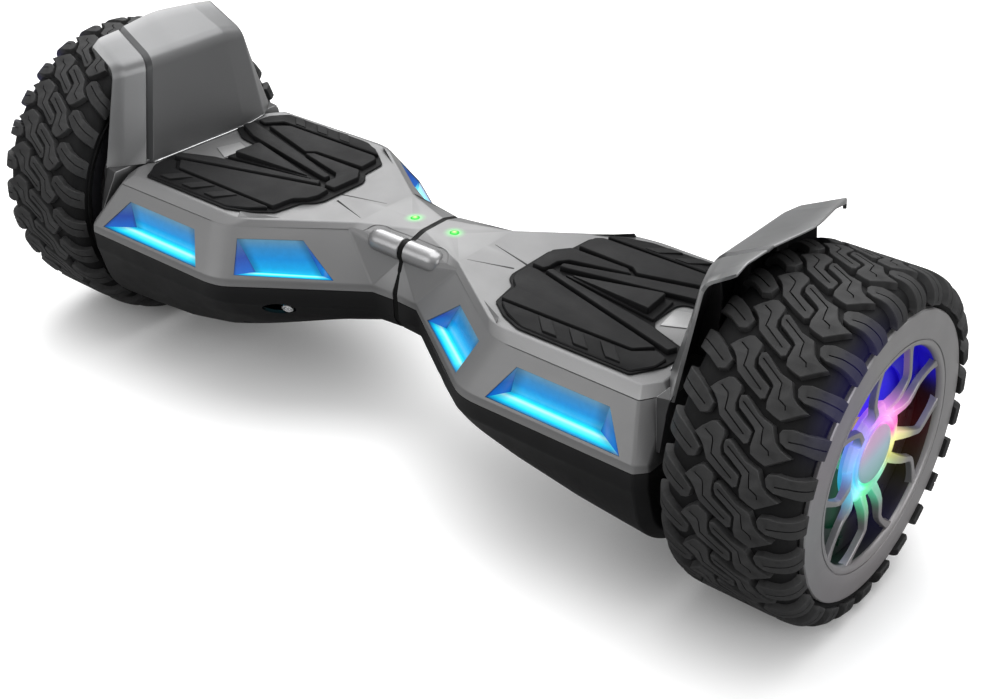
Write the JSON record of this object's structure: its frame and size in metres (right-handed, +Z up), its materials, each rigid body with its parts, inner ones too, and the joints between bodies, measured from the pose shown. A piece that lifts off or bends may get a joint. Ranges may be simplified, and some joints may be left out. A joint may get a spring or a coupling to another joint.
{
  "type": "self balancing hoverboard",
  "caption": "Self balancing board with two wide off-road wheels, fenders, rubber foot pads and lit side windows, hinged at its narrow waist.",
  "frame": {"origin": "on the ground midway between the wheels, under the waist", "axes": "+X along the axle line towards the right wheel, +Y towards the rear, +Z up"},
  "size_m": [0.678, 0.216, 0.2334],
  "materials": {
    "shell_silver": "satin gunmetal lacquer",
    "shell_black": "fine grain moulded plastic",
    "lens_blue": "translucent tinted lens",
    "lens_green": "translucent lens",
    "circuit_board": "solder mask",
    "frame_metal": "as cast",
    "steel": "turned",
    "stator_steel": "laminated, varnished",
    "screw_black": "black oxide",
    "tyre": "moulded rubber",
    "rim_silver": "satin silver",
    "hub_pearl": "pearl lacquer",
    "light_white": "light board",
    "pad_rubber": "grained rubber",
    "plastic_dark": "moulded",
    "seal_black": "smooth",
    "battery_wrap": "shrink wrap",
    "cable_black": "sleeve",
    "button_black": "gloss"
  },
  "bodies": {
    "left_half": {"upper_shell_left": "shell_silver", "lower_shell_left": "shell_black", "fender_left": "shell_silver", "front_lenses_left": "lens_blue", "rear_lenses_left": "lens_blue", "led_strips_left": "circuit_board", "indicator_left": "lens_green", "chassis_frame_left": "frame_metal", "axle_left": "steel", "stator_left": "stator_steel", "axle_clamp_left": "frame_metal", "clamp_screws_left": "steel", "pad_switch_board_left": "circuit_board", "gyro_board_left": "circuit_board", "shell_screws_left": "screw_black", "pivot_tube": "steel", "pivot_circlip": "steel", "centre_seal": "seal_black", "battery_pack": "battery_wrap", "harness": "cable_black"},
    "right_half": {"upper_shell_right": "shell_silver", "lower_shell_right": "shell_black", "fender_right": "shell_silver", "front_lenses_right": "lens_blue", "rear_lenses_right": "lens_blue", "led_strips_right": "circuit_board", "indicator_right": "lens_green", "chassis_frame_right": "frame_metal", "axle_right": "steel", "stator_right": "stator_steel", "axle_clamp_right": "frame_metal", "clamp_screws_right": "steel", "pad_switch_board_right": "circuit_board", "gyro_board_right": "circuit_board", "shell_screws_right": "screw_black", "pivot_bush": "plastic_dark", "main_board": "circuit_board", "speaker": "plastic_dark", "charge_socket": "plastic_dark"},
    "left_wheel": {"tyre_left": "tyre", "wheel_rim_left": "rim_silver", "wheel_cover_left": "rim_silver", "hub_cap_left": "hub_pearl", "motor_cover_left": "frame_metal", "wheel_bearings_left": "steel", "light_ring_left": "light_white"},
    "right_wheel": {"tyre_right": "tyre", "wheel_rim_right": "rim_silver", "wheel_cover_right": "rim_silver", "hub_cap_right": "hub_pearl", "motor_cover_right": "frame_metal", "wheel_bearings_right": "steel", "light_ring_right": "light_white"},
    "left_pad": {"foot_pad_left": "pad_rubber", "pad_plate_left": "plastic_dark"},
    "right_pad": {"foot_pad_right": "pad_rubber", "pad_plate_right": "plastic_dark"},
    "button": {"power_button": "button_black"},
    "socket_cap": {"charge_cap": "pad_rubber"}
  },
  "joints": [
    {"name": "body_twist", "type": "hinge", "parent": "left_half", "child": "right_half", "pos_m": [0, 0, 0.108], "axis": [1, 0, 0], "range_deg": [-12, 12]},
    {"name": "left_wheel_spin", "type": "hinge", "parent": "left_half", "child": "left_wheel", "pos_m": [-0.29, 0, 0.108], "axis": [1, 0, 0], "continuous": true},
    {"name": "right_wheel_spin", "type": "hinge", "parent": "right_half", "child": "right_wheel", "pos_m": [0.29, 0, 0.108], "axis": [1, 0, 0], "continuous": true},
    {"name": "left_pad_press", "type": "slide", "parent": "left_half", "child": "left_pad", "axis": [0, 0, -1], "range_m": [0, 0.0008], "stiffness_N_per_m": 60000},
    {"name": "right_pad_press", "type": "slide", "parent": "right_half", "child": "right_pad", "axis": [0, 0, -1], "range_m": [0, 0.0008], "stiffness_N_per_m": 60000},
    {"name": "power_button_press", "type": "slide", "parent": "left_half", "child": "button", "axis": [0, -1, 0], "range_m": [0, 0.0015], "stiffness_N_per_m": 800},
    {"name": "socket_cap_flip", "type": "hinge", "parent": "right_half", "child": "socket_cap", "pos_m": [0.165, 0.1056, 0.0815], "axis": [-1, 0, 0], "range_deg": [0, 110]}
  ]
}
